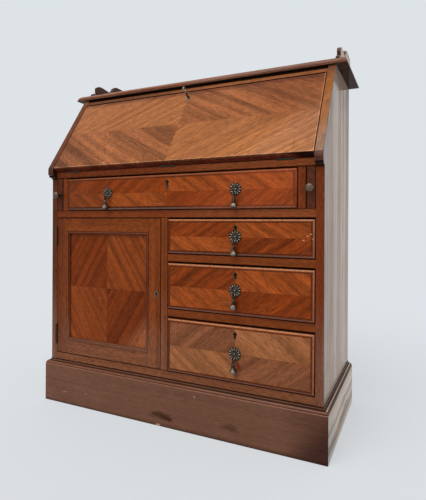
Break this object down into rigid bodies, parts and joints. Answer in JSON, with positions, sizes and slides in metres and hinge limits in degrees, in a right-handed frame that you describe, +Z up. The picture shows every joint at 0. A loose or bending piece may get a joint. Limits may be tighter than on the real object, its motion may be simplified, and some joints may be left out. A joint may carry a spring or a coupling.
{
  "type": "bureau desk",
  "caption": "Slant-front bureau desk with a fall-down writing flap on slide-out lopers, a cupboard, drawers with drop handles, pigeonholes and a low shaped gallery.",
  "frame": {"origin": "on the floor, under the middle of the part's overall box", "axes": "+X to the right of someone facing the desk, +Y to the back, +Z up"},
  "size_m": [0.915, 0.4118, 1.0761],
  "materials": {
    "veneer": "polished mahogany veneer, quarter matched",
    "frame_wood": "polished solid mahogany",
    "dark_wood": "dark polished mahogany",
    "plinth_wood": "worn polish",
    "inside_wood": "plain, unpolished",
    "aged_brass": "aged",
    "bronze": "antique, dark greenish brown",
    "steel": "dull"
  },
  "bodies": {
    "desk": {"plinth_front": "plinth_wood", "plinth_left": "plinth_wood", "plinth_right": "plinth_wood", "plinth_back": "inside_wood", "side_left": "veneer", "side_right": "veneer", "bottom_board": "frame_wood", "mid_board": "frame_wood", "centre_partition": "frame_wood", "cupboard_shelf": "inside_wood", "desk_bed": "frame_wood", "top_board": "veneer", "back_board": "inside_wood", "drawer_rail_low": "frame_wood", "drawer_rail_high": "frame_wood", "loper_stile_left": "frame_wood", "loper_stile_right": "frame_wood", "slope_rail": "frame_wood", "gallery_left": "veneer", "gallery_right": "veneer", "gallery_back": "veneer", "pigeonhole_nest": "inside_wood", "fall_hinge_1_bed_leaf": "aged_brass", "fall_hinge_2_bed_leaf": "aged_brass", "fall_hinge_3_bed_leaf": "aged_brass", "door_hinge_1_side_leaf": "aged_brass", "door_hinge_2_side_leaf": "aged_brass"},
    "fall": {"fall_flap": "veneer", "fall_lock": "aged_brass", "fall_hinge_1_flap_leaf": "aged_brass", "fall_hinge_2_flap_leaf": "aged_brass", "fall_hinge_3_flap_leaf": "aged_brass"},
    "bolt": {"fall_bolt": "steel"},
    "key": {"fall_key": "steel"},
    "door": {"door_frame": "frame_wood", "door_panel": "veneer", "door_hinge_1_door_leaf": "aged_brass", "door_hinge_2_door_leaf": "aged_brass"},
    "left_loper": {"loper_left": "dark_wood", "loper_left_knob": "aged_brass"},
    "right_loper": {"loper_right": "dark_wood", "loper_right_knob": "aged_brass"},
    "top_drawer": {"top_drawer_front": "veneer", "top_drawer_box": "inside_wood", "top_handle_left_plate": "bronze", "top_handle_right_plate": "bronze"},
    "high_drawer": {"high_drawer_front": "veneer", "high_drawer_box": "inside_wood", "high_handle_plate": "bronze"},
    "middle_drawer": {"middle_drawer_front": "veneer", "middle_drawer_box": "inside_wood", "middle_handle_plate": "bronze"},
    "low_drawer": {"low_drawer_front": "veneer", "low_drawer_box": "inside_wood", "low_handle_plate": "bronze"},
    "top_left_drop": {"top_handle_left_drop": "bronze"},
    "top_right_drop": {"top_handle_right_drop": "bronze"},
    "high_drop": {"high_handle_drop": "bronze"},
    "middle_drop": {"middle_handle_drop": "bronze"},
    "low_drop": {"low_handle_drop": "bronze"}
  },
  "joints": [
    {"name": "fall_hinge", "type": "hinge", "parent": "desk", "child": "fall", "pos_m": [0, -0.1826, 0.7168], "axis": [1, 0, 0], "range_deg": [0, 123]},
    {"name": "key_turn", "type": "hinge", "parent": "fall", "child": "key", "pos_m": [0, -0.0643, 0.93568], "axis": [0, -0.8387, 0.5446], "range_deg": [0, 180]},
    {"name": "bolt_slide", "type": "slide", "parent": "fall", "child": "bolt", "axis": [0, 0.5446, 0.8387], "range_m": [0, 0.008]},
    {"name": "door_hinge", "type": "hinge", "parent": "desk", "child": "door", "pos_m": [-0.4069, -0.1837, 0.36225], "axis": [0, 0, -1], "range_deg": [0, 105]},
    {"name": "left_loper_slide", "type": "slide", "parent": "desk", "child": "left_loper", "axis": [0, -1, 0], "range_m": [0, 0.24]},
    {"name": "right_loper_slide", "type": "slide", "parent": "desk", "child": "right_loper", "axis": [0, -1, 0], "range_m": [0, 0.24]},
    {"name": "top_drawer_slide", "type": "slide", "parent": "desk", "child": "top_drawer", "axis": [0, -1, 0], "range_m": [0, 0.22]},
    {"name": "high_drawer_slide", "type": "slide", "parent": "desk", "child": "high_drawer", "axis": [0, -1, 0], "range_m": [0, 0.25]},
    {"name": "middle_drawer_slide", "type": "slide", "parent": "desk", "child": "middle_drawer", "axis": [0, -1, 0], "range_m": [0, 0.25]},
    {"name": "low_drawer_slide", "type": "slide", "parent": "desk", "child": "low_drawer", "axis": [0, -1, 0], "range_m": [0, 0.25]},
    {"name": "top_left_drop_hinge", "type": "hinge", "parent": "top_drawer", "child": "top_left_drop", "pos_m": [-0.204, -0.1964, 0.6385], "axis": [-1, 0, 0], "range_deg": [0, 95]},
    {"name": "top_right_drop_hinge", "type": "hinge", "parent": "top_drawer", "child": "top_right_drop", "pos_m": [0.204, -0.1964, 0.6385], "axis": [-1, 0, 0], "range_deg": [0, 95]},
    {"name": "high_drop_hinge", "type": "hinge", "parent": "high_drawer", "child": "high_drop", "pos_m": [0.204, -0.1964, 0.5164], "axis": [-1, 0, 0], "range_deg": [0, 95]},
    {"name": "middle_drop_hinge", "type": "hinge", "parent": "middle_drawer", "child": "middle_drop", "pos_m": [0.204, -0.1964, 0.38], "axis": [-1, 0, 0], "range_deg": [0, 95]},
    {"name": "low_drop_hinge", "type": "hinge", "parent": "low_drawer", "child": "low_drop", "pos_m": [0.204, -0.1964, 0.21785], "axis": [-1, 0, 0], "range_deg": [0, 95]}
  ],
  "couplings": [
    {"joint": "key_turn", "follows": "bolt_slide", "rad_per_m": 392.5}
  ]
}
